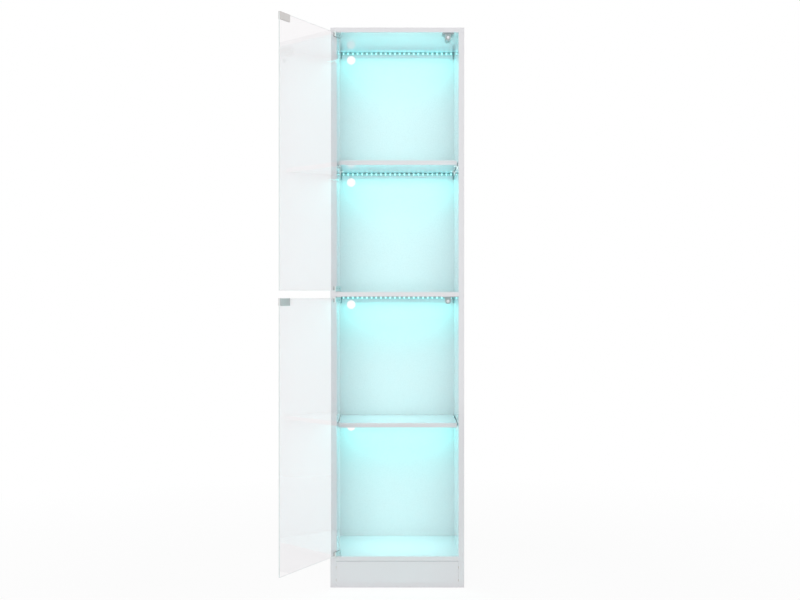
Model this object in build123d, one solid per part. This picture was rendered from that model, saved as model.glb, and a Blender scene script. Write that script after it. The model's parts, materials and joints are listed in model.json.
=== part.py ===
from build123d import *
import math
import os

os.makedirs("parts", exist_ok=True)

# Tall narrow display cabinet with two inset glass doors, in millimetres.
# X runs to the right, Y to the back and Z up. The origin is on the floor, in the middle of
# the plinth board's foot. The doors stand open, as when the shelves are being filled.

# Carcass
width = 430.0
depth = 370.0
height = 1800.0
side_thickness = 18.0
board_thickness = 15.0
board_edge_chamfer = 0.5
mid_panel_top = 950.0
bottom_panel_top = 100.0
plinth_thickness = 15.0
plinth_joint = 0.8

# Back panels, held in grooves
back_thickness = 3.0
back_inset = 5.0
groove_depth = 5.0
groove_play = 0.1
back_edge_play = 0.5
cable_hole_radius = 15.0
cable_hole_from_side = 36.0
cable_hole_drops = (27.0, 33.0, 29.0, 26.0)

# Removable shelves and their supports
shelf_thickness = 15.0
upper_shelf_top = 1380.0
lower_shelf_top = 522.0
shelf_side_gap = 2.0
shelf_setback = 68.0
shelf_back_gap = 1.0
peg_radius = 2.5
peg_depth = 8.0
peg_from_shelf_edge = 45.0
support_width = 10.0
support_drop = 12.0
support_wall = 1.6
support_reach = 10.0

# Cam fasteners and wooden dowels
cam_radius = 7.5
cam_depth = 11.5
cam_from_joint = 34.0
cam_mouth_play = 0.5
cam_cross_length = 9.0
cam_cross_width = 1.6
cam_cross_depth = 1.5
bolt_radius = 3.0
bolt_anchor = 10.0
dowel_radius = 4.0
dowel_length = 30.0
cam_from_edge = 60.0
dowel_from_edge = 92.0
plinth_dowel_from_ends = 22.0
fastener_flats = 12

# Glass doors on pivot clamps at the left
glass_thickness = 4.0
glass_edge_chamfer = 0.4
door_end_gap = 4.5
door_free_gap = 3.0
door_open_angle = 115.0
pivot_from_side = 9.0
pivot_from_front = 6.5
glass_past_pivot = 5.0
clamp_past_pivot = 6.5
clamp_reach = 36.0
clamp_height = 16.0
clamp_web = 2.5
clamp_outer_wall = 2.0
clamp_inner_wall = 3.0
clamp_corner = 2.6
clamp_slot_play = 0.2
pad_thickness = 0.5
pad_margin = 1.5
grub_radius = 2.0
grub_socket_flat = 2.0
grub_socket_depth = 1.2
grub_spacing = 16.0
pin_radius = 2.5
pin_in_bush = 5.5
pin_play = 0.05
pivot_end_play = 0.2
bush_radius = 4.5
bush_flange_radius = 6.5
bush_depth = 6.5
bush_pin_room = 0.3

# Strike plates clipped over the free top corner of each door
strike_length = 60.0
strike_height = 22.0
strike_thickness = 1.0

# Push catches under the top panel and under the middle panel
catch_from_right = 33.0
catch_flange_width = 36.0
catch_flange_thickness = 3.0
catch_body_width = 19.0
catch_drop = 24.0
catch_length = 50.0
catch_wall_back = 3.0
plunger_radius = 5.0
plunger_play = 0.06
plunger_reach = 5.0
plunger_body = 27.0
plunger_travel = 3.0
plunger_tip_chamfer = 0.8
strike_play = 0.3
magnet_radius = 3.2
magnet_length = 3.0
spring_wire = 0.9
spring_steps = 10
spring_coil_radius = 3.6
spring_turns = 5
spring_seat_play = 0.3
catch_screw_radius = 1.75
catch_screw_head_radius = 3.4
catch_screw_head_height = 1.7
catch_screw_length = 13.0
catch_screw_from_centre = 13.8
catch_screw_from_front = 25.0

# Light strips under each ceiling, on the back panels
strip_height = 9.5
strip_thickness = 0.8
strip_drop = 0.5
strip_end_gap = 6.0
chip_size = 5.0
chip_thickness = 1.6
chip_pitch = 16.3
connector_width = 5.0
connector_thickness = 3.0
connector_tail = 14.0
connector_tail_width = 2.5
connector_tail_thickness = 1.2

# Places worked out from the sizes above
front_y = -plinth_thickness / 2
rear_y = front_y + depth
outer_x = width / 2
inner_x = outer_x - side_thickness
top_under = height - board_thickness
mid_under = mid_panel_top - board_thickness
bottom_under = bottom_panel_top - board_thickness
upper_shelf_under = upper_shelf_top - shelf_thickness
lower_shelf_under = lower_shelf_top - shelf_thickness
back_front_y = rear_y - back_inset - back_thickness
back_rear_y = rear_y - back_inset
ceilings = (top_under, upper_shelf_under, mid_under, lower_shelf_under)
hinge_x = -inner_x + pivot_from_side
hinge_y = front_y + pivot_from_front
glass_back_y = hinge_y + glass_thickness / 2
glass_front_y = hinge_y - glass_thickness / 2
flange_height = door_end_gap - clamp_web - pivot_end_play
catch_x = inner_x - catch_from_right
plunger_tip_y = glass_back_y + strike_thickness + strike_play
housing_front_y = plunger_tip_y + plunger_reach
plunger_drop = catch_drop - catch_body_width / 2
cam_rows = (front_y + cam_from_edge, rear_y - cam_from_edge)
dowel_rows = (front_y + dowel_from_edge, rear_y - dowel_from_edge)
shelf_front_y = front_y + shelf_setback
shelf_back_y = back_front_y - shelf_back_gap
strip_length = 2 * (inner_x - strip_end_gap)
chip_count = int((strip_length - chip_size) / chip_pitch) + 1
peg_rows = (shelf_front_y + peg_from_shelf_edge, shelf_back_y - peg_from_shelf_edge)


def block(x0, x1, y0, y1, z0, z1):
    # rectangular solid between two corners
    size = Box(x1 - x0, y1 - y0, z1 - z0)
    return Pos((x0 + x1) / 2, (y0 + y1) / 2, (z0 + z1) / 2) * size


def rod(radius, start, direction, length):
    # round bar that grows from start along direction
    seat = Plane(origin=start, z_dir=direction)
    return seat * Cylinder(radius, length, align=(Align.CENTER, Align.CENTER, Align.MIN))


def peg(radius, start, direction, length):
    # small fastener with flats in place of flutes or threads, and the hole that fits it
    seat = Plane(origin=start, z_dir=direction)
    return extrude(seat * RegularPolygon(radius, fastener_flats), length)


def board(x0, x1, y0, y1, z0, z1):
    # foil-wrapped board with its edges just broken
    plain = block(x0, x1, y0, y1, z0, z1)
    return chamfer(plain.edges(), board_edge_chamfer)


def save(name, *solids):
    # one file for each node, its solids kept separate
    if len(solids) == 1:
        export_step(solids[0], f"parts/{name}.step")
    else:
        export_step(Compound(children=list(solids)), f"parts/{name}.step")


def cam_from(face_point, into, bolt_way):
    # quarter-turn cam pressed into a board, with its mouth towards the bolt
    disc = peg(cam_radius, face_point, into, cam_depth)
    axis_point = Vector(*face_point) + Vector(*into) * (board_thickness / 2)
    mouth_start = axis_point - Vector(*bolt_way) * bolt_radius
    mouth = peg(bolt_radius + cam_mouth_play, tuple(mouth_start), bolt_way, cam_radius * 2)
    return disc - mouth


def side_cams():
    # cam centre, drilling direction and bolt direction of every cam joint
    joints = []
    for sign in (-1, 1):
        for y in cam_rows:
            for under in (mid_under, bottom_under):
                centre = (sign * (inner_x - cam_from_joint), y, under)
                joints.append((centre, (0, 0, 1), (sign, 0, 0)))
    return joints


def top_cams():
    # the top panel's cams are let into the inner faces of the upper sides
    joints = []
    for sign in (-1, 1):
        for y in cam_rows:
            centre = (sign * inner_x, y, top_under - cam_from_joint)
            joints.append((centre, (sign, 0, 0), (0, 0, 1)))
    return joints


def bolt_of(centre, into, way):
    # bolt from inside the cam's mouth to its anchor in the next board
    start = Vector(*centre) + Vector(*into) * (board_thickness / 2)
    return peg(bolt_radius, tuple(start), way, cam_from_joint + bolt_anchor)


def all_cams():
    return side_cams() + top_cams()


def all_bolts():
    return [bolt_of(*joint) for joint in all_cams()]


def all_dowels():
    # wooden dowels, half in each of two joined boards
    half = dowel_length / 2
    dowels = []
    for sign in (-1, 1):
        anchor = side_thickness - bolt_anchor / 2
        for y in dowel_rows:
            for under in (mid_under, bottom_under):
                start = (sign * (inner_x + anchor), y, under + board_thickness / 2)
                dowels.append(peg(dowel_radius, start, (-sign, 0, 0), dowel_length))
            across = sign * (inner_x + side_thickness / 2)
            cap = board_thickness - bolt_anchor / 2
            dowels.append(peg(dowel_radius, (across, y, top_under + cap), (0, 0, -1), dowel_length))
            dowels.append(peg(dowel_radius, (across, y, mid_under + half), (0, 0, -1), dowel_length))
        for z in (plinth_dowel_from_ends, bottom_under - plinth_dowel_from_ends):
            start = (sign * (inner_x + anchor), front_y + plinth_thickness / 2, z)
            dowels.append(peg(dowel_radius, start, (-sign, 0, 0), dowel_length))
    return dowels


def drill(solid, tools):
    # only the tools that reach the board are cut from it
    box = solid.bounding_box()
    for tool in tools:
        if box.overlaps(tool.bounding_box()):
            solid = solid - tool
    return solid


def groove(x0, x1, z0, z1):
    # slot for a back panel
    return block(x0, x1, back_front_y - groove_play, back_rear_y + groove_play, z0, z1)


def fastener_tools():
    discs = [peg(cam_radius, centre, into, cam_depth) for centre, into, way in all_cams()]
    return discs + all_bolts() + all_dowels()


def bush_seats():
    # open face of each pivot hole and the way it is drilled
    seats = []
    for floor, ceiling in ((mid_panel_top, top_under), (bottom_panel_top, mid_under)):
        seats.append(((hinge_x, hinge_y, ceiling), (0, 0, 1)))
        seats.append(((hinge_x, hinge_y, floor), (0, 0, -1)))
    return seats


def bush_tools():
    return [peg(bush_radius, seat, into, bush_depth) for seat, into in bush_seats()]


def catch_screw_places(ceiling):
    y = housing_front_y + catch_screw_from_front
    return [(catch_x + side * catch_screw_from_centre, y, ceiling) for side in (-1, 1)]


def catch_screws(ceiling):
    # countersunk screws up into the board from under the catch's flange
    screws = []
    for x, y, z in catch_screw_places(ceiling):
        foot = z - catch_flange_thickness
        shank = peg(catch_screw_radius, (x, y, foot), (0, 0, 1), catch_screw_length)
        head = Pos(x, y, foot + catch_screw_head_height / 2) * Cone(
            catch_screw_head_radius, catch_screw_radius, catch_screw_head_height
        )
        screws.append(shank + head)
    return screws


def all_catch_screws():
    return catch_screws(top_under) + catch_screws(mid_under)


def side_panel(sign, z0, z1, tools):
    panel = board(inner_x, outer_x, front_y, rear_y, z0, z1)
    if sign < 0:
        panel = mirror(panel, about=Plane.YZ)
    near = sign * inner_x
    far = sign * (inner_x + groove_depth)
    slot_foot = max(z0, bottom_under)
    panel = panel - groove(min(near, far), max(near, far), slot_foot, z1)
    return drill(panel, tools)


def flat_panel(half_width, z0, tools, slots):
    # horizontal board with back-panel grooves on the faces that slots name
    panel = board(-half_width, half_width, front_y, rear_y, z0, z0 + board_thickness)
    slot_half = inner_x + groove_depth
    if "under" in slots:
        panel = panel - groove(-slot_half, slot_half, z0, z0 + groove_depth)
    if "over" in slots:
        top = z0 + board_thickness
        panel = panel - groove(-slot_half, slot_half, top - groove_depth, top)
    return drill(panel, tools)


def back_panel(floor, ceiling, holes):
    # thin sheet in grooves on all four sides, with a round cable hole in each space
    grow = groove_depth - back_edge_play
    sheet = block(
        -inner_x - grow, inner_x + grow, back_front_y, back_rear_y, floor - grow, ceiling + grow
    )
    for z in holes:
        start = (-inner_x + cable_hole_from_side, back_front_y, z)
        sheet = sheet - rod(cable_hole_radius, start, (0, 1, 0), back_thickness)
    return sheet


def shelf(top):
    half = inner_x - shelf_side_gap
    return board(-half, half, shelf_front_y, shelf_back_y, top - shelf_thickness, top)


def shelf_support(sign, y, under):
    # peg in the side, a plate against the side and a tongue under the shelf
    wall_x0 = inner_x - support_wall
    plate = block(
        wall_x0, inner_x, y - support_width / 2, y + support_width / 2, under - support_drop, under
    )
    tongue = block(
        inner_x - support_reach,
        wall_x0,
        y - support_width / 2,
        y + support_width / 2,
        under - support_wall,
        under,
    )
    pin = peg(peg_radius, (inner_x, y, under - support_drop / 2), (1, 0, 0), peg_depth)
    piece = plate + tongue + pin
    inner_corner = piece.edges().filter_by(Axis.Y).sort_by_distance(
        (wall_x0, y, under - support_wall)
    )[0]
    piece = chamfer(inner_corner, support_wall / 2)
    if sign < 0:
        piece = mirror(piece, about=Plane.YZ)
    return piece


def shelf_supports(under):
    return [shelf_support(sign, y, under) for sign in (-1, 1) for y in peg_rows]


def peg_tools():
    tools = []
    for under in (upper_shelf_under, lower_shelf_under):
        for sign in (-1, 1):
            for y in peg_rows:
                start = (sign * inner_x, y, under - support_drop / 2)
                tools.append(peg(peg_radius, start, (sign, 0, 0), peg_depth))
    return tools


def cam_disc(centre, into, way):
    # cam with its bolt mouth and the cross slot for a screwdriver
    disc = cam_from(centre, into, way)
    slots = Box(cam_cross_length, cam_cross_width, cam_cross_depth * 2)
    slots = slots + Box(cam_cross_width, cam_cross_length, cam_cross_depth * 2)
    return disc - Plane(origin=centre, z_dir=into) * slots


def pivot_bush(seat, into):
    # flanged plastic bush with a blind hole for the pivot pin
    away = tuple(-value for value in into)
    body = peg(bush_radius, seat, into, bush_depth)
    body = body + rod(bush_flange_radius, seat, away, flange_height)
    mouth = tuple(point + flange_height * value for point, value in zip(seat, away))
    hole_depth = flange_height + pin_in_bush + bush_pin_room
    return body - rod(pin_radius + pin_play, mouth, into, hole_depth)


def opened(piece):
    # turns a closed door piece to the angle at which the door stands open
    hinge_line = Axis((hinge_x, hinge_y, 0), (0, 0, 1))
    return piece.rotate(hinge_line, -door_open_angle)


def door_glass(floor, ceiling):
    pane = block(
        hinge_x - glass_past_pivot,
        inner_x - door_free_gap,
        glass_front_y,
        glass_back_y,
        floor + door_end_gap,
        ceiling - door_end_gap,
    )
    return chamfer(pane.edges(), glass_edge_chamfer)


def clamp_points(floor, ceiling):
    # glass edge height and the way out of the door, at both ends
    return ((floor + door_end_gap, -1), (ceiling - door_end_gap, 1))


def span(a, b):
    return min(a, b), max(a, b)


def pivot_clamp(edge, way):
    # metal channel over the glass edge with a web that carries the pivot pin
    y0 = glass_front_y - pad_thickness - clamp_outer_wall
    y1 = glass_back_y + pad_thickness + clamp_inner_wall
    z0, z1 = span(edge + way * clamp_web, edge - way * (clamp_height - clamp_web))
    channel = block(hinge_x - clamp_past_pivot, hinge_x + clamp_reach, y0, y1, z0, z1)
    channel = chamfer(channel.edges().filter_by(Axis.Z), clamp_corner)
    slot_z = span(edge, edge - way * clamp_height)
    channel = channel - block(
        hinge_x - glass_past_pivot - clamp_slot_play,
        hinge_x + clamp_reach,
        glass_front_y - pad_thickness,
        glass_back_y + pad_thickness,
        *slot_z,
    )
    channel = channel - pivot_pin(edge, way)
    for grub in clamp_grubs():
        channel = channel - peg(
            grub_radius, grub_place(grub, edge, way), (0, 1, 0), clamp_inner_wall
        )
    return channel


def clamp_grubs():
    # the two grub screws stand either side of the middle of the clamp
    middle = (clamp_reach - glass_past_pivot) / 2
    return (middle - grub_spacing / 2, middle + grub_spacing / 2)


def grub_place(along, edge, way):
    z = edge - way * (clamp_height - clamp_web) / 2
    return (hinge_x + along, glass_back_y + pad_thickness, z)


def grub_screw(along, edge, way):
    start = grub_place(along, edge, way)
    screw = peg(grub_radius, start, (0, 1, 0), clamp_inner_wall)
    mouth = Plane(origin=(start[0], start[1] + clamp_inner_wall, start[2]), z_dir=(0, -1, 0))
    socket = extrude(mouth * RegularPolygon(grub_socket_flat / 2, 6, major_radius=False),
                     grub_socket_depth)
    return screw - socket


def clamp_pads(edge, way):
    # thin rubber between the metal and both faces of the glass
    z0, z1 = span(edge - way * pad_margin, edge - way * (clamp_height - clamp_web))
    x0 = hinge_x - glass_past_pivot + pad_margin
    x1 = hinge_x + clamp_reach
    front = block(x0, x1, glass_front_y - pad_thickness, glass_front_y, z0, z1)
    back = block(x0, x1, glass_back_y, glass_back_y + pad_thickness, z0, z1)
    return [front, back]


def pivot_pin(edge, way):
    # from inside the clamp's web to near the bottom of the bush
    length = door_end_gap + pin_in_bush
    return rod(pin_radius, (hinge_x, hinge_y, edge), (0, 0, way), length)


def strike_plate(ceiling):
    # sheet-metal clip folded over the top edge of the glass at its free corner
    edge = ceiling - door_end_gap
    x1 = inner_x - door_free_gap
    x0 = x1 - strike_length
    outer = block(
        x0,
        x1,
        glass_front_y - strike_thickness,
        glass_back_y + strike_thickness,
        edge - strike_height,
        edge + strike_thickness,
    )
    outer = chamfer(outer.edges().filter_by(Axis.Y).group_by(Axis.Z)[0], strike_thickness)
    inside = block(x0, x1, glass_front_y, glass_back_y, edge - strike_height, edge)
    return outer - inside


def catch_profile(ceiling):
    # flat flange with a half-round barrel hanging under it
    half = catch_body_width / 2
    flange = Pos(0, -catch_flange_thickness / 2) * Rectangle(catch_flange_width, catch_flange_thickness)
    neck = Pos(0, -plunger_drop / 2) * Rectangle(catch_body_width, plunger_drop)
    barrel = Pos(0, -plunger_drop) * Circle(half)
    rear = (catch_x, housing_front_y + catch_length, ceiling)
    face = Plane(origin=rear, x_dir=(1, 0, 0), z_dir=(0, -1, 0))
    return face * (flange + neck + barrel)


def catch_housing(ceiling, screws):
    body = extrude(catch_profile(ceiling), catch_length)
    bore_start = (catch_x, housing_front_y, ceiling - plunger_drop)
    bore_length = catch_length - catch_wall_back
    body = body - rod(plunger_radius + plunger_play, bore_start, (0, 1, 0), bore_length)
    return drill(body, screws)


def catch_plunger(ceiling):
    z = ceiling - plunger_drop
    length = plunger_reach + plunger_body
    stem = rod(plunger_radius, (catch_x, plunger_tip_y, z), (0, 1, 0), length)
    stem = chamfer(stem.edges().group_by(Axis.Y)[0], plunger_tip_chamfer)
    return stem - rod(magnet_radius, (catch_x, plunger_tip_y, z), (0, 1, 0), magnet_length)


def catch_magnet(ceiling):
    z = ceiling - plunger_drop
    return rod(magnet_radius, (catch_x, plunger_tip_y, z), (0, 1, 0), magnet_length)


def catch_spring(ceiling):
    # coil drawn at its pressed length, seated on the end wall of the barrel
    bore_end = housing_front_y + catch_length - catch_wall_back
    plunger_end = plunger_tip_y + plunger_reach + plunger_body
    room = bore_end - plunger_end - plunger_travel - 2 * spring_seat_play - 2 * spring_wire
    steps = spring_turns * spring_steps
    angles = [2 * math.pi * step / spring_steps for step in range(steps + 1)]
    path = Polyline(
        *[
            (
                spring_coil_radius * math.cos(angle),
                spring_coil_radius * math.sin(angle),
                room * step / steps,
            )
            for step, angle in enumerate(angles)
        ]
    )
    wire = Plane(origin=path @ 0, z_dir=path % 0) * Rectangle(spring_wire, spring_wire)
    coil = sweep(wire, path=path, transition=Transition.RIGHT)
    seat_y = bore_end - spring_seat_play - spring_wire
    place = Plane(origin=(catch_x, seat_y, ceiling - plunger_drop), z_dir=(0, -1, 0))
    return place * coil


def light_strip(ceiling):
    top = ceiling - strip_drop
    half = strip_length / 2
    return block(-half, half, back_front_y - strip_thickness, back_front_y, top - strip_height, top)


def light_chips(ceiling):
    # evenly pitched square lamps along the strip
    middle = ceiling - strip_drop - strip_height / 2
    y0 = back_front_y - strip_thickness - chip_thickness
    y1 = back_front_y - strip_thickness
    half = chip_size / 2
    chips = []
    for number in range(chip_count):
        x = (number - (chip_count - 1) / 2) * chip_pitch
        chips.append(block(x - half, x + half, y0, y1, middle - half, middle + half))
    return chips


def strip_connectors(ceiling):
    # clip at each end of a strip, with a short flat tail down the corner
    top = ceiling - strip_drop
    ends = []
    for sign in (-1, 1):
        near = sign * (inner_x - strip_end_gap)
        x0, x1 = span(near, near + sign * connector_width)
        body = block(x0, x1, back_front_y - connector_thickness, back_front_y, top - strip_height, top)
        tail_x = near + sign * (connector_width - connector_tail_width / 2)
        t0, t1 = span(tail_x - connector_tail_width / 2, tail_x + connector_tail_width / 2)
        foot = top - strip_height - connector_tail
        tail = block(t0, t1, back_front_y - connector_tail_thickness, back_front_y, foot, top - strip_height)
        ends.append(body + tail)
    return ends


def make_carcass():
    tools = fastener_tools()
    bushes = bush_tools()
    screws = all_catch_screws()
    pegs = peg_tools()
    save("top_panel", flat_panel(outer_x, top_under, tools + bushes + screws, ("under",)))
    save("mid_panel", flat_panel(inner_x, mid_under, tools + bushes + screws, ("under", "over")))
    save("bottom_panel", flat_panel(inner_x, bottom_under, tools + bushes, ("over",)))
    save("upper_left_side", side_panel(-1, mid_under, top_under, tools + pegs))
    save("upper_right_side", side_panel(1, mid_under, top_under, tools + pegs))
    save("lower_left_side", side_panel(-1, 0, mid_under, tools + pegs))
    save("lower_right_side", side_panel(1, 0, mid_under, tools + pegs))
    plinth_half = inner_x - plinth_joint
    plinth = board(
        -plinth_half, plinth_half, front_y, front_y + plinth_thickness, 0, bottom_under - plinth_joint
    )
    save("plinth", drill(plinth, all_dowels()))
    hole_heights = [ceiling - drop for ceiling, drop in zip(ceilings, cable_hole_drops)]
    save("upper_back_panel", back_panel(mid_panel_top, top_under, hole_heights[:2]))
    save("lower_back_panel", back_panel(bottom_panel_top, mid_under, hole_heights[2:]))
    save("cam_discs", *[cam_disc(*joint) for joint in all_cams()])
    save("cam_bolts", *all_bolts())
    save("wood_dowels", *all_dowels())


def make_shelves():
    save("upper_shelf", shelf(upper_shelf_top))
    save("lower_shelf", shelf(lower_shelf_top))
    save("upper_shelf_supports", *shelf_supports(upper_shelf_under))
    save("lower_shelf_supports", *shelf_supports(lower_shelf_under))


def make_door(name, floor, ceiling):
    ends = clamp_points(floor, ceiling)
    pads = [pad for end in ends for pad in clamp_pads(*end)]
    grubs = [grub_screw(along, *end) for end in ends for along in clamp_grubs()]
    save(f"{name}_door_glass", opened(door_glass(floor, ceiling)))
    save(f"{name}_door_clamps", *[opened(pivot_clamp(*end)) for end in ends])
    save(f"{name}_clamp_pads", *[opened(pad) for pad in pads])
    save(f"{name}_clamp_screws", *[opened(grub) for grub in grubs])
    save(f"{name}_pivot_pins", *[opened(pivot_pin(*end)) for end in ends])
    save(f"{name}_strike_plate", opened(strike_plate(ceiling)))


def make_catch(name, ceiling):
    save(f"{name}_catch_housing", catch_housing(ceiling, all_catch_screws()))
    save(f"{name}_catch_plunger", catch_plunger(ceiling))
    save(f"{name}_catch_magnet", catch_magnet(ceiling))
    save(f"{name}_catch_spring", catch_spring(ceiling))


def make_lights():
    names = ("first", "second", "third", "fourth")
    for name, ceiling in zip(names, ceilings):
        save(f"{name}_light_strip", light_strip(ceiling))
        save(f"{name}_light_chips", *light_chips(ceiling))
    save("strip_connectors", *[end for ceiling in ceilings for end in strip_connectors(ceiling)])


make_carcass()
make_shelves()
make_door("upper", mid_panel_top, top_under)
make_door("lower", bottom_panel_top, mid_under)
make_catch("upper", top_under)
make_catch("lower", mid_under)
make_lights()
save("pivot_bushes", *[pivot_bush(seat, into) for seat, into in bush_seats()])
save("catch_screws", *all_catch_screws())
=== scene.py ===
import json
import math

import bpy
import numpy as np
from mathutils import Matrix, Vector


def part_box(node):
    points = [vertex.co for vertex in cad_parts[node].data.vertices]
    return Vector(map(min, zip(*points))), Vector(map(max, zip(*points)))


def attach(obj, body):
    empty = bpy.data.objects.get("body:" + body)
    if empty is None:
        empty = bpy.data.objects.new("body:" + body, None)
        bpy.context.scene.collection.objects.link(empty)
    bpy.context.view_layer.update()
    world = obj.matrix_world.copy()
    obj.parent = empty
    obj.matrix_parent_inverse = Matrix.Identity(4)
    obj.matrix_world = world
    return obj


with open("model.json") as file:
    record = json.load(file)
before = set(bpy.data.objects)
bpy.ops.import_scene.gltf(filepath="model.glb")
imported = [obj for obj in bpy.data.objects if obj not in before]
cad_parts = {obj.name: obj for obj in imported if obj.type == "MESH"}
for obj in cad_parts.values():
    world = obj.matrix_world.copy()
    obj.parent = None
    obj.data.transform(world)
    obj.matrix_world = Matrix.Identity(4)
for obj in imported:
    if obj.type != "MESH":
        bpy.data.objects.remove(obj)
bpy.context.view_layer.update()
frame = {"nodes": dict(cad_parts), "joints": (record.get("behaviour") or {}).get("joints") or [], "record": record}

mm = 0.001
print("frame loaded:", len(frame["nodes"]), "nodes")


# The photograph's view: level, head-on, a long lens from over four metres away
cameraSettings = {
    "imageWidth": 800,           # pixels
    "focalPixels": 1328.0,       # focal length in pixels
    "distance": 4.269,           # from the front edges of the boards, metres
    "height": 0.951,             # eye level above the floor
    "axisRight": 2.7,            # pixels from the optical axis to the picture's middle, across
    "axisUp": 8.3,               # and down
    "sensorWidth": 36.0,         # millimetres
}


def makeCamera(s):
    data = bpy.data.cameras.new("studioCamera")
    data.sensor_width = s["sensorWidth"]
    data.lens = s["sensorWidth"] * s["focalPixels"] / s["imageWidth"]
    data.shift_x = s["axisRight"] / s["imageWidth"]
    data.shift_y = -s["axisUp"] / s["imageWidth"]
    camera = bpy.data.objects.new("studioCamera", data)
    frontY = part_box("top_panel")[0].y
    camera.location = (0.0, frontY - s["distance"], s["height"])
    camera.rotation_euler = (math.radians(90), 0.0, 0.0)
    bpy.context.collection.objects.link(camera)
    bpy.context.scene.camera = camera


makeCamera(cameraSettings)
bpy.context.scene.view_settings.view_transform = "Standard"
print("camera placed")


# Shared helpers for the materials

def linearColour(hexText):
    # sRGB hex to the linear colour that the nodes work in, opaque
    values = [int(hexText[i:i + 2], 16) / 255 for i in (1, 3, 5)]
    linear = [v / 12.92 if v <= 0.04045 else ((v + 0.055) / 1.055) ** 2.4 for v in values]
    return (*linear, 1.0)


def addNode(tree, kind, settings=None, links=None):
    # one node with its settings (inputs or properties by name) and what feeds it
    node = tree.nodes.new(kind)
    for name, value in (settings or {}).items():
        if isinstance(name, int) or name in node.inputs:
            node.inputs[name].default_value = value
        else:
            setattr(node, name, value)
    for name, socket in (links or {}).items():
        tree.links.new(socket, node.inputs[name])
    return node


def newMaterial(name):
    material = bpy.data.materials.new(name)
    material.use_nodes = True
    material.node_tree.nodes.clear()
    output = material.node_tree.nodes.new("ShaderNodeOutputMaterial")
    return material, material.node_tree, output


def finishMaterial(tree, output, shader):
    tree.links.new(shader, output.inputs["Surface"])


def surfaceNoise(tree, vector, sizeMm, detail=2.0):
    # noise whose cells are about sizeMm across
    return addNode(tree, "ShaderNodeTexNoise",
                   {"Scale": 1.0 / (sizeMm * mm), "Detail": detail, "Roughness": 0.5},
                   {"Vector": vector})


def bumpFrom(tree, socket, heightMm, strength=0.5):
    # a relief of the given height from a 0 to 1 pattern
    return addNode(tree, "ShaderNodeBump", {"Strength": strength, "Distance": heightMm * mm},
                   {"Height": socket})


def rangeOf(tree, socket, low, high):
    # takes a 0 to 1 pattern to the range low to high
    return addNode(tree, "ShaderNodeMapRange", {"To Min": low, "To Max": high}, {"Value": socket})


def seenByEye(tree, path):
    # 1 for rays that a viewer sees, straight, mirrored or through glass, and 0 for rays of light
    mirrored = addNode(tree, "ShaderNodeMath", {"operation": "MAXIMUM"},
                       {0: path.outputs["Is Camera Ray"], 1: path.outputs["Is Glossy Ray"]})
    return addNode(tree, "ShaderNodeMath", {"operation": "MAXIMUM"},
                   {0: mirrored.outputs[0], 1: path.outputs["Is Transmission Ray"]})


# Melamine-faced chipboard under high-gloss white foil: a mirror-like white with a faint
# orange-peel ripple, and on the narrow faces an edge band that is a shade warmer
foilBoard = {
    "face": "#dfdfe4",
    "band": "#dedde0",
    "peelMm": 9.0,               # length of the ripple left by the press
    "peelHeightMm": 0.006,
    "peelStrength": 0.6,
    "hazeMm": 120.0,             # broad patches where the gloss is a little duller
    "hazeDetail": 3.0,
    "roughness": (0.07, 0.15),
    "coat": 0.35,
    "coatRoughness": 0.05,
    "ior": 1.5,
    "bandFacing": -0.9,          # faces whose normal's Y is below this show the edge band
}


def makeFoilBoard(s):
    material, tree, output = newMaterial("highGlossFoilOnChipboard")
    place = addNode(tree, "ShaderNodeTexCoord")
    haze = surfaceNoise(tree, place.outputs["Object"], s["hazeMm"], s["hazeDetail"])
    peel = surfaceNoise(tree, place.outputs["Object"], s["peelMm"])
    bump = bumpFrom(tree, peel.outputs["Fac"], s["peelHeightMm"], s["peelStrength"])
    normal = addNode(tree, "ShaderNodeSeparateXYZ", None, {"Vector": place.outputs["Normal"]})
    facing = addNode(tree, "ShaderNodeMath", {"operation": "LESS_THAN", 1: s["bandFacing"]},
                     {0: normal.outputs["Y"]})
    colour = addNode(tree, "ShaderNodeMix",
                     {"data_type": "RGBA", 6: linearColour(s["face"]), 7: linearColour(s["band"])},
                     {0: facing.outputs[0]})
    rough = rangeOf(tree, haze.outputs["Fac"], *s["roughness"])
    shader = addNode(tree, "ShaderNodeBsdfPrincipled",
                     {"Coat Weight": s["coat"], "Coat Roughness": s["coatRoughness"],
                      "IOR": s["ior"]},
                     {"Base Color": colour.outputs[2], "Roughness": rough.outputs[0],
                      "Normal": bump.outputs[0]})
    finishMaterial(tree, output, shader.outputs[0])
    return material


# Hardboard with white lacquer on the face: satin, with a fine pressed-fibre grain
lacqueredHardboard = {
    "colour": "#e4e6e8",
    "fibreMm": 2.5,
    "fibreHeightMm": 0.015,
    "fibreDetail": 4.0,
    "roughness": (0.22, 0.34),
    "ior": 1.5,
}


def makeHardboard(s):
    material, tree, output = newMaterial("whiteLacqueredHardboard")
    place = addNode(tree, "ShaderNodeTexCoord")
    fibre = surfaceNoise(tree, place.outputs["Object"], s["fibreMm"], s["fibreDetail"])
    bump = bumpFrom(tree, fibre.outputs["Fac"], s["fibreHeightMm"])
    rough = rangeOf(tree, fibre.outputs["Fac"], *s["roughness"])
    shader = addNode(tree, "ShaderNodeBsdfPrincipled",
                     {"Base Color": linearColour(s["colour"]), "IOR": s["ior"]},
                     {"Roughness": rough.outputs[0], "Normal": bump.outputs[0]})
    finishMaterial(tree, output, shader.outputs[0])
    return material


# Clear toughened float glass: nearly colourless through the pane, and pale and frosted at the
# ground edges. Lamps pass through it, as they do through a thin pane.
toughenedGlass = {
    "pane": "#f9f7f8",
    "edge": "#dfe5e4",
    "edgeRoughness": 0.45,
    "ior": 1.5,
    "faceCosine": 0.8,           # a normal further from the pane's than this belongs to an edge
    "shadow": "#fbfbfb",         # what a pane leaves of the light that falls through it
    "gloss": 0.14,               # the photograph's panes mirror less than bare glass does
}


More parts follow.
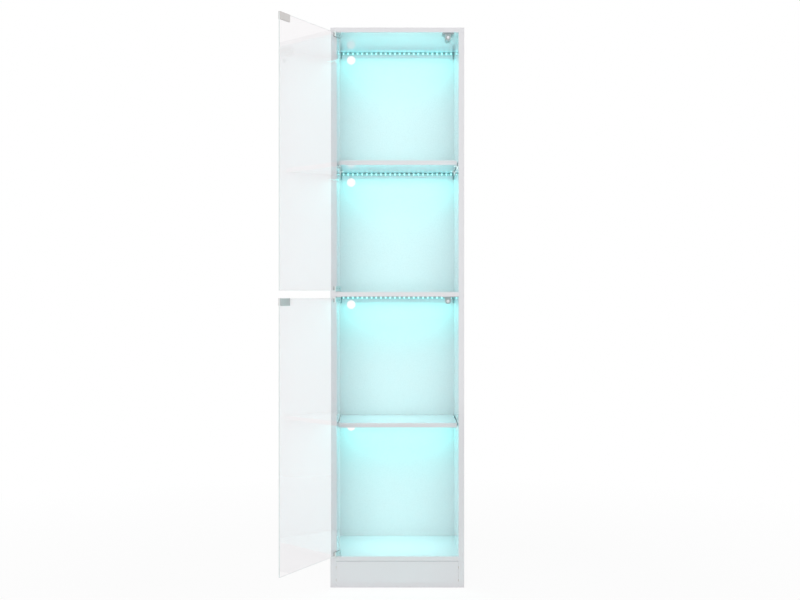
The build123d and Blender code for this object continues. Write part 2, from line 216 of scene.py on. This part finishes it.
def makeGlass(s):
    material, tree, output = newMaterial("toughenedFloatGlass")
    place = addNode(tree, "ShaderNodeTexCoord")
    # the pane's own normal at rest, from the angle at which the doors stand open
    angle = -frame["joints"][0]["range_deg"][1]
    paneNormal = (-math.sin(math.radians(angle)), math.cos(math.radians(angle)), 0.0)
    across = addNode(tree, "ShaderNodeVectorMath", {"operation": "DOT_PRODUCT", 1: paneNormal},
                     {0: place.outputs["Normal"]})
    flat = addNode(tree, "ShaderNodeMath", {"operation": "ABSOLUTE"}, {0: across.outputs["Value"]})
    isEdge = addNode(tree, "ShaderNodeMath", {"operation": "LESS_THAN", 1: s["faceCosine"]},
                     {0: flat.outputs[0]})
    pane = addNode(tree, "ShaderNodeBsdfPrincipled",
                   {"Base Color": linearColour(s["pane"]), "Roughness": 0.0, "IOR": s["ior"],
                    "Transmission Weight": 1.0, "Specular IOR Level": s["gloss"]})
    edge = addNode(tree, "ShaderNodeBsdfPrincipled",
                   {"Base Color": linearColour(s["edge"]), "Roughness": s["edgeRoughness"],
                    "IOR": s["ior"]})
    glass = addNode(tree, "ShaderNodeMixShader", None,
                    {0: isEdge.outputs[0], 1: pane.outputs[0], 2: edge.outputs[0]})
    clear = addNode(tree, "ShaderNodeBsdfTransparent", {"Color": linearColour(s["shadow"])})
    path = addNode(tree, "ShaderNodeLightPath")
    soft = addNode(tree, "ShaderNodeMath", {"operation": "MAXIMUM"},
                   {0: path.outputs["Is Shadow Ray"], 1: path.outputs["Is Diffuse Ray"]})
    shader = addNode(tree, "ShaderNodeMixShader", None,
                     {0: soft.outputs[0], 1: glass.outputs[0], 2: clear.outputs[0]})
    finishMaterial(tree, output, shader.outputs[0])
    return material


# Metals: a plated or drawn skin whose gloss varies a little, with fine scratches. Stretch draws
# the grain out along an axis, as rolling does.
metalGrainDetail = 3.0
metalSettings = {
    "chromePlatedZinc": {"colour": "#dfe6e5", "roughness": (0.28, 0.42), "grainMm": 3.0,
                         "stretch": (1.0, 1.0, 1.0), "grainHeightMm": 0.004},
    "nickelPlatedSheetSteel": {"colour": "#d2cecc", "roughness": (0.26, 0.40), "grainMm": 0.9,
                               "stretch": (1.0, 1.0, 0.06), "grainHeightMm": 0.01},
    "zincPlatedSteel": {"colour": "#a9adad", "roughness": (0.28, 0.42), "grainMm": 0.8,
                        "stretch": (1.0, 1.0, 1.0), "grainHeightMm": 0.01},
    "dieCastZinc": {"colour": "#989b9e", "roughness": (0.38, 0.55), "grainMm": 1.2,
                    "stretch": (1.0, 1.0, 1.0), "grainHeightMm": 0.03},
    "nickelPlatedMagnet": {"colour": "#a4a8ab", "roughness": (0.18, 0.3), "grainMm": 1.0,
                           "stretch": (1.0, 1.0, 1.0), "grainHeightMm": 0.006},
}


def makeMetal(name, s):
    material, tree, output = newMaterial(name)
    place = addNode(tree, "ShaderNodeTexCoord")
    drawn = addNode(tree, "ShaderNodeMapping", {"Scale": s["stretch"]},
                    {"Vector": place.outputs["Object"]})
    grain = surfaceNoise(tree, drawn.outputs[0], s["grainMm"], metalGrainDetail)
    rough = rangeOf(tree, grain.outputs["Fac"], *s["roughness"])
    bump = bumpFrom(tree, grain.outputs["Fac"], s["grainHeightMm"])
    shader = addNode(tree, "ShaderNodeBsdfPrincipled",
                     {"Base Color": linearColour(s["colour"]), "Metallic": 1.0},
                     {"Roughness": rough.outputs[0], "Normal": bump.outputs[0]})
    finishMaterial(tree, output, shader.outputs[0])
    return material


# Moulded and rubber pieces: the fine spark-eroded texture of the mould breaks up the shine
plasticSettings = {
    "whiteNylon": {"colour": "#dfe3e2", "roughness": (0.32, 0.48), "textureMm": 0.6,
                   "heightMm": 0.01, "ior": 1.53},
    "greyAbs": {"colour": "#a2b2b3", "roughness": (0.30, 0.46), "textureMm": 0.7,
                "heightMm": 0.012, "ior": 1.54},
    "blackRubber": {"colour": "#1b1c1c", "roughness": (0.6, 0.8), "textureMm": 0.5,
                    "heightMm": 0.02, "ior": 1.52},
    # the white tape's colour is greyed and tinted cyan: painted shade and painted cyan light from its own lamps
    "whiteTapeWithPaintedCyanLight": {"colour": "#bcd6d5", "roughness": (0.25, 0.35), "textureMm": 1.5,
                         "heightMm": 0.01, "ior": 1.5},
    # the connectors' dark grey carries a painted cyan cast from the tapes' light
    "darkConnectorWithPaintedCyanLight": {"colour": "#85a3a3", "roughness": (0.35, 0.5), "textureMm": 0.7,
                         "heightMm": 0.012, "ior": 1.54},
}


def makePlastic(name, s):
    material, tree, output = newMaterial(name)
    place = addNode(tree, "ShaderNodeTexCoord")
    texture = surfaceNoise(tree, place.outputs["Object"], s["textureMm"])
    rough = rangeOf(tree, texture.outputs["Fac"], *s["roughness"])
    bump = bumpFrom(tree, texture.outputs["Fac"], s["heightMm"])
    shader = addNode(tree, "ShaderNodeBsdfPrincipled",
                     {"Base Color": linearColour(s["colour"]), "IOR": s["ior"]},
                     {"Roughness": rough.outputs[0], "Normal": bump.outputs[0]})
    finishMaterial(tree, output, shader.outputs[0])
    return material


# Beech dowels, turned and fluted: pale wood with long darker pores
beech = {
    "light": "#cdae82",
    "dark": "#a8845a",
    "poreMm": 0.8,
    "poreDetail": 4.0,
    "stretch": (0.08, 1.0, 1.0),
    "roughness": 0.62,
}


def makeBeech(s):
    material, tree, output = newMaterial("turnedBeech")
    place = addNode(tree, "ShaderNodeTexCoord")
    along = addNode(tree, "ShaderNodeMapping", {"Scale": s["stretch"]},
                    {"Vector": place.outputs["Object"]})
    pores = surfaceNoise(tree, along.outputs[0], s["poreMm"], s["poreDetail"])
    colour = addNode(tree, "ShaderNodeMix",
                     {"data_type": "RGBA", 6: linearColour(s["light"]),
                      7: linearColour(s["dark"])},
                     {0: pores.outputs["Fac"]})
    shader = addNode(tree, "ShaderNodeBsdfPrincipled", {"Roughness": s["roughness"]},
                     {"Base Color": colour.outputs[2]})
    finishMaterial(tree, output, shader.outputs[0])
    return material


# Lamp chips: a resin lens across the middle of a white square housing. The lens glows cyan.
lampChip = {
    "housing": "#e6efee",
    "resin": "#c9fbfb",
    "glow": "#c0ffff",
    "glowStrength": 0.95,
    "housingGlow": 0.22,         # light that leaks sideways into the housing
    "lensMm": 4.2,
    "pitchMm": 16.3,             # 60 lamps to the metre, near enough
    "roughness": 0.18,
}


def makeLampChip(s):
    # distance from each chip's own centre, found by repeating the object's X at the pitch
    low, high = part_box("first_light_chips")
    chipSize = high.z - low.z
    pitch = s["pitchMm"] * mm
    material, tree, output = newMaterial("cyanLampChip")
    place = addNode(tree, "ShaderNodeTexCoord")
    parts = addNode(tree, "ShaderNodeSeparateXYZ", None, {"Vector": place.outputs["Object"]})
    shifted = addNode(tree, "ShaderNodeMath", {"operation": "SUBTRACT", 1: low.x + chipSize / 2},
                      {0: parts.outputs["X"]})
    column = addNode(tree, "ShaderNodeMath", {"operation": "DIVIDE", 1: pitch},
                     {0: shifted.outputs[0]})
    nearest = addNode(tree, "ShaderNodeMath", {"operation": "ROUND"}, {0: column.outputs[0]})
    offset = addNode(tree, "ShaderNodeMath", {"operation": "SUBTRACT"},
                     {0: column.outputs[0], 1: nearest.outputs[0]})
    distance = addNode(tree, "ShaderNodeMath", {"operation": "ABSOLUTE"}, {0: offset.outputs[0]})
    inside = addNode(tree, "ShaderNodeMath",
                     {"operation": "LESS_THAN", 1: s["lensMm"] * mm / 2 / pitch},
                     {0: distance.outputs[0]})
    colour = addNode(tree, "ShaderNodeMix",
                     {"data_type": "RGBA", 6: linearColour(s["housing"]),
                      7: linearColour(s["resin"])},
                     {0: inside.outputs[0]})
    glow = rangeOf(tree, inside.outputs[0], s["housingGlow"], s["glowStrength"])
    shader = addNode(tree, "ShaderNodeBsdfPrincipled",
                     {"Emission Color": linearColour(s["glow"]), "Roughness": s["roughness"]},
                     {"Base Color": colour.outputs[2], "Emission Strength": glow.outputs[0]})
    finishMaterial(tree, output, shader.outputs[0])
    return material


print("materials defined")


# Which finish each CAD node gets
boardFinish = makeFoilBoard(foilBoard)
hardboardFinish = makeHardboard(lacqueredHardboard)
glassFinish = makeGlass(toughenedGlass)
metals = {name: makeMetal(name, s) for name, s in metalSettings.items()}
plastics = {name: makePlastic(name, s) for name, s in plasticSettings.items()}
beechFinish = makeBeech(beech)
chipFinish = makeLampChip(lampChip)

finishBySlot = {
    "white_foil_board": boardFinish,
    "white_hardboard": hardboardFinish,
    "clear_glass": glassFinish,
    "chrome_plate": metals["chromePlatedZinc"],
    "pressed_steel": metals["nickelPlatedSheetSteel"],
    "steel_hardware": metals["zincPlatedSteel"],
    "zinc_cam": metals["dieCastZinc"],
    "dark_metal": metals["nickelPlatedMagnet"],
    "beech_dowel": beechFinish,
    "black_rubber": plastics["blackRubber"],
    "white_plastic": plastics["whiteNylon"],
    "grey_plastic": plastics["greyAbs"],
    "strip_tape": plastics["whiteTapeWithPaintedCyanLight"],
    "lamp_chip": chipFinish,
}
slotOfNode = {part["node"]: part["material_slot"] for part in frame["record"]["subparts"]}
for nodeName, nodeObject in frame["nodes"].items():
    finish = finishBySlot[slotOfNode[nodeName]]
    if nodeName == "strip_connectors":
        finish = plastics["darkConnectorWithPaintedCyanLight"]
    for materialSlot in nodeObject.material_slots:
        materialSlot.material = finish
print("finishes given to the CAD nodes")


# Small dark resistors on the light tapes, one between each two lamps, near the upper edge
resistorSettings = {
    "length": 8.0 * mm,
    "height": 2.8 * mm,
    "thickness": 0.7 * mm,
    "fromTop": 0.1 * mm,
    "bevel": 0.2 * mm,
    # the resistors' dark colour carries a painted cyan cast from the tapes' light
    "finish": {"colour": "#3a7673", "roughness": (0.3, 0.4), "textureMm": 0.5,
               "heightMm": 0.01, "ior": 1.55},
}


def blockGrid(centres, size):
    # boxes of one size round an array of centres: eight corners and six faces each,
    # worked out as whole arrays
    corners = np.array([[x, y, z] for z in (-1, 1) for y in (-1, 1) for x in (-1, 1)]) / 2
    points = (centres[:, None, :] + corners[None] * np.array(size)).reshape(-1, 3)
    faces = np.array([[0, 2, 3, 1], [4, 5, 7, 6], [0, 1, 5, 4],
                      [2, 6, 7, 3], [0, 4, 6, 2], [1, 3, 7, 5]])
    faces = (faces[None] + 8 * np.arange(len(centres))[:, None, None]).reshape(-1, 4)
    return points, faces


def makeResistors(s, stripNode, chipNode, name, material):
    tapeLow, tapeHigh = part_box(stripNode)
    chipLow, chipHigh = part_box(chipNode)
    chipSize = chipHigh.z - chipLow.z
    pitch = lampChip["pitchMm"] * mm
    gaps = round((chipHigh.x - chipLow.x - chipSize) / pitch)
    x = chipLow.x + chipSize / 2 + pitch * (np.arange(gaps) + 0.5)
    z = tapeHigh.z - s["fromTop"] - s["height"] / 2
    y = tapeLow.y - s["thickness"] / 2
    centres = np.stack([x, np.full_like(x, y), np.full_like(x, z)], axis=1)
    points, faces = blockGrid(centres, (s["length"], s["thickness"], s["height"]))
    mesh = bpy.data.meshes.new(name)
    mesh.from_pydata(points.tolist(), [], faces.tolist())
    mesh.materials.append(material)
    piece = bpy.data.objects.new(name, mesh)
    bpy.context.collection.objects.link(piece)
    bevel = piece.modifiers.new("edges", "BEVEL")
    bevel.width = s["bevel"]
    bevel.segments = 1
    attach(piece, "cabinet")


resistorFinish = makePlastic("resistorWithPaintedCyanLight", resistorSettings["finish"])
stripNames = ("first", "second", "third", "fourth")
for stripName in stripNames:
    makeResistors(resistorSettings, stripName + "_light_strip", stripName + "_light_chips",
                  stripName + "TapeResistors", resistorFinish)
print("light tapes dressed")


# The studio: a white floor that keeps the cabinet's shadow, a white surround and soft lamps
studio = {
    "floorSize": 14.0,
    "shadowReach": (0.9, 2.6),   # metres over which the floor fades to plain white
    "floorColour": "#ffffff",
    "floorLitShare": 0.08,       # how much of the floor's shading shows close to the cabinet
    "ambient": 0.47,             # light from all round
    "surround": (1.0, 1.0, 1.0, 1.0),
    "aim": (0.0, 0.2, 0.9),      # the lamps all face the middle of the cabinet
    "lamps": {
        "key": {"place": (0.2, -6.2, 1.8), "size": 6.0, "power": 149.0, "mirrored": True},
        "left": {"place": (-3.2, -2.6, 1.4), "size": 2.4, "power": 32.0, "mirrored": False},
        "right": {"place": (3.8, 0.9, 1.6), "size": 2.4, "power": 16.0, "mirrored": False},
        "rear": {"place": (-1.2, 5.6, 2.0), "size": 5.0, "power": 65.0, "mirrored": False},
    },
}


def makeFloor(s):
    half = s["floorSize"] / 2
    mesh = bpy.data.meshes.new("studioFloor")
    mesh.from_pydata([(-half, -half, 0), (half, -half, 0), (half, half, 0), (-half, half, 0)],
                     [], [(0, 1, 2, 3)])
    floor = bpy.data.objects.new("studioFloor", mesh)
    bpy.context.collection.objects.link(floor)
    material, tree, output = newMaterial("paperFloor")
    place = addNode(tree, "ShaderNodeTexCoord")
    spread = addNode(tree, "ShaderNodeVectorMath", {"operation": "LENGTH"},
                     {0: place.outputs["Object"]})
    near = addNode(tree, "ShaderNodeMapRange",
                   {"From Min": s["shadowReach"][0], "From Max": s["shadowReach"][1],
                    "To Min": s["floorLitShare"], "To Max": 0.0, "clamp": True},
                   {"Value": spread.outputs["Value"]})
    path = addNode(tree, "ShaderNodeLightPath")
    seen = seenByEye(tree, path)
    share = addNode(tree, "ShaderNodeMath", {"operation": "SUBTRACT", 0: 1.0},
                    {1: near.outputs[0]})
    white = addNode(tree, "ShaderNodeMath", {"operation": "MULTIPLY"},
                    {0: share.outputs[0], 1: seen.outputs[0]})
    lit = addNode(tree, "ShaderNodeBsdfDiffuse", {"Color": linearColour(s["floorColour"])})
    plain = addNode(tree, "ShaderNodeEmission", {"Color": s["surround"], "Strength": 1.0})
    shader = addNode(tree, "ShaderNodeMixShader", None,
                     {0: white.outputs[0], 1: lit.outputs[0], 2: plain.outputs[0]})
    finishMaterial(tree, output, shader.outputs[0])
    mesh.materials.append(material)


def makeWorld(s):
    world = bpy.data.worlds.new("studioWorld")
    bpy.context.scene.world = world
    world.use_nodes = True
    tree = world.node_tree
    tree.nodes.clear()
    output = tree.nodes.new("ShaderNodeOutputWorld")
    path = addNode(tree, "ShaderNodeLightPath")
    seen = seenByEye(tree, path)
    dim = addNode(tree, "ShaderNodeBackground", {"Color": s["surround"], "Strength": s["ambient"]})
    white = addNode(tree, "ShaderNodeBackground", {"Color": s["surround"], "Strength": 1.0})
    shader = addNode(tree, "ShaderNodeMixShader", None,
                     {0: seen.outputs[0], 1: dim.outputs[0], 2: white.outputs[0]})
    tree.links.new(shader.outputs[0], output.inputs["Surface"])


def pointing(way):
    # turns a lamp's own -Z to face along way
    length = float(np.linalg.norm(way))
    tilt = math.acos(-way[2] / length)
    turn = math.atan2(way[1], way[0]) - math.pi / 2
    return (tilt, 0.0, turn)


def makeLamp(name, s, aim):
    data = bpy.data.lights.new(name, "AREA")
    data.size = s["size"]
    data.energy = s["power"]
    lamp = bpy.data.objects.new(name, data)
    lamp.location = s["place"]
    lamp.rotation_euler = pointing(np.array(aim) - np.array(s["place"]))
    lamp.visible_camera = False
    lamp.visible_transmission = False
    lamp.visible_glossy = s["mirrored"]
    bpy.context.collection.objects.link(lamp)


# Soft cyan light of the tapes in each space: some falls down the back wall, some spreads over the
# space below, and a little goes forward along the ceiling. Places are metres from the tape, and
# tilt and beam are degrees.
glowSettings = {
    "down": {"colour": "#7cfff6", "power": 0.35, "depth": 0.10, "fromWall": 0.07, "drop": 0.016,
             "tilt": 0.0, "beam": 180.0},
    "spread": {"colour": "#bafff5", "power": 0.41, "depth": 0.20, "fromWall": 0.20, "drop": 0.004,
               "tilt": 0.0, "beam": 90.0},
    "out": {"colour": "#60ffff", "power": 0.09, "depth": 0.01, "fromWall": 0.004, "drop": 0.005,
            "tilt": -80.0, "beam": 180.0},
}


def makeGlow(name, s, stripNode):
    low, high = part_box(stripNode)
    data = bpy.data.lights.new(name, "AREA")
    data.shape = "RECTANGLE"
    data.size = high.x - low.x
    data.size_y = s["depth"]
    data.energy = s["power"]
    data.color = linearColour(s["colour"])[:3]
    data.spread = math.radians(s["beam"])
    lamp = bpy.data.objects.new(name, data)
    lamp.location = ((low.x + high.x) / 2, low.y - s["fromWall"], high.z - s["drop"])
    lamp.rotation_euler = (math.radians(s["tilt"]), 0.0, 0.0)
    lamp.visible_camera = False
    lamp.visible_glossy = False
    bpy.context.collection.objects.link(lamp)


makeFloor(studio)
makeWorld(studio)
for lampName, lampSettings in studio["lamps"].items():
    makeLamp(lampName + "Lamp", lampSettings, studio["aim"])
for stripName in stripNames:
    for way, glow in glowSettings.items():
        makeGlow(f"{stripName}Glow_{way}", glow, stripName + "_light_strip")
print("studio lit")
